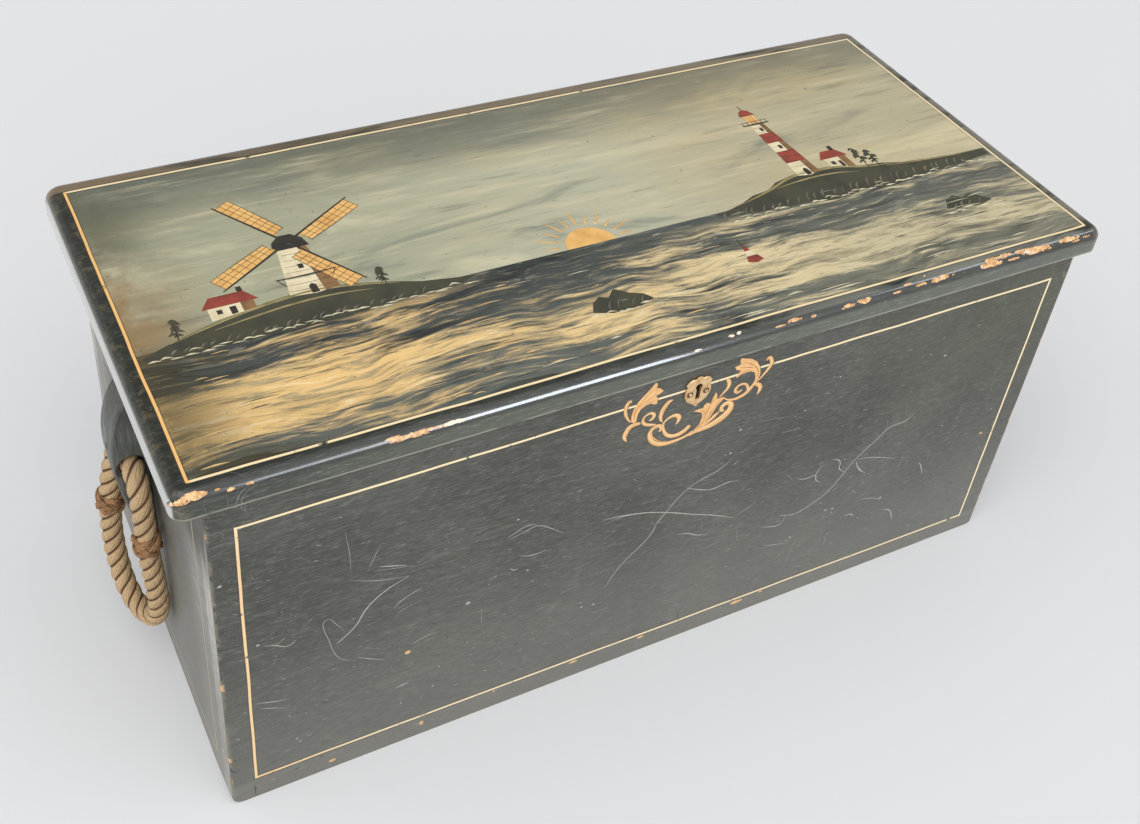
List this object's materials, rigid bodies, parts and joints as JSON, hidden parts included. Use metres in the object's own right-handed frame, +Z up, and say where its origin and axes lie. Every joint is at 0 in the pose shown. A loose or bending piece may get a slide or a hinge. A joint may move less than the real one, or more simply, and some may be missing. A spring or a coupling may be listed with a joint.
{
  "type": "sea chest",
  "caption": "Painted dovetailed wooden sea chest with a hinged flat lid, chest lock, open till and a swinging rope becket on a carved cleat at each end.",
  "frame": {"origin": "middle of the plan of the whole chest, in the plane of its base; both beckets are left out of that plan", "axes": "+X along the length, towards the right end seen from the front; +Y from the keyhole side to the hinge side; +Z up"},
  "size_m": [1.0268, 0.4644, 0.446],
  "materials": {
    "painted_wood": "worn dark green-grey paint on softwood, semi-gloss",
    "painted_lid": "varnished painted scene on softwood, gloss",
    "bare_wood": "unpainted aged softwood, matte",
    "cleat_wood": "worn paint on hardwood, matte",
    "iron": "dark wrought iron, matte",
    "brass": "aged brass, satin",
    "hemp": "three-strand hemp rope, matte",
    "knot_twine": "woven tarred twine, matte"
  },
  "bodies": {
    "chest": {"front_board": "painted_wood", "back_board": "painted_wood", "left_end_board": "painted_wood", "right_end_board": "painted_wood", "bottom_board_front": "bare_wood", "bottom_board_back": "bare_wood", "till_front": "bare_wood", "till_bottom": "bare_wood", "lock_case": "iron", "escutcheon": "brass", "escutcheon_screw_left": "brass", "escutcheon_screw_right": "brass", "left_hinge_back_strap": "iron", "left_hinge_pin": "iron", "left_cleat": "cleat_wood", "left_cleat_nail_lower": "iron", "left_cleat_nail_upper": "iron", "right_hinge_back_strap": "iron", "right_hinge_pin": "iron", "right_cleat": "cleat_wood", "right_cleat_nail_lower": "iron", "right_cleat_nail_upper": "iron"},
    "lid": {"lid_board": "painted_lid", "lid_batten_left": "bare_wood", "lid_batten_right": "bare_wood", "lock_staple": "iron", "left_hinge_lid_strap": "iron", "right_hinge_lid_strap": "iron"},
    "bolt": {"lock_bolt": "iron"},
    "left_becket": {"left_becket_rope": "hemp", "left_becket_front_knot": "knot_twine", "left_becket_back_knot": "knot_twine"},
    "right_becket": {"right_becket_rope": "hemp", "right_becket_front_knot": "knot_twine", "right_becket_back_knot": "knot_twine"}
  },
  "joints": [
    {"name": "lid_hinge", "type": "hinge", "parent": "chest", "child": "lid", "pos_m": [0, 0.22615, 0.419], "axis": [-1, 0, 0], "range_deg": [0, 105]},
    {"name": "bolt_slide", "type": "slide", "parent": "chest", "child": "bolt", "axis": [1, 0, 0], "range_m": [0, 0.012]},
    {"name": "left_becket_swing", "type": "hinge", "parent": "chest", "child": "left_becket", "pos_m": [-0.4805, -0.00315, 0.28], "axis": [0, 1, 0], "range_deg": [0, 150]},
    {"name": "right_becket_swing", "type": "hinge", "parent": "chest", "child": "right_becket", "pos_m": [0.4805, -0.00315, 0.28], "axis": [0, -1, 0], "range_deg": [0, 150]}
  ]
}
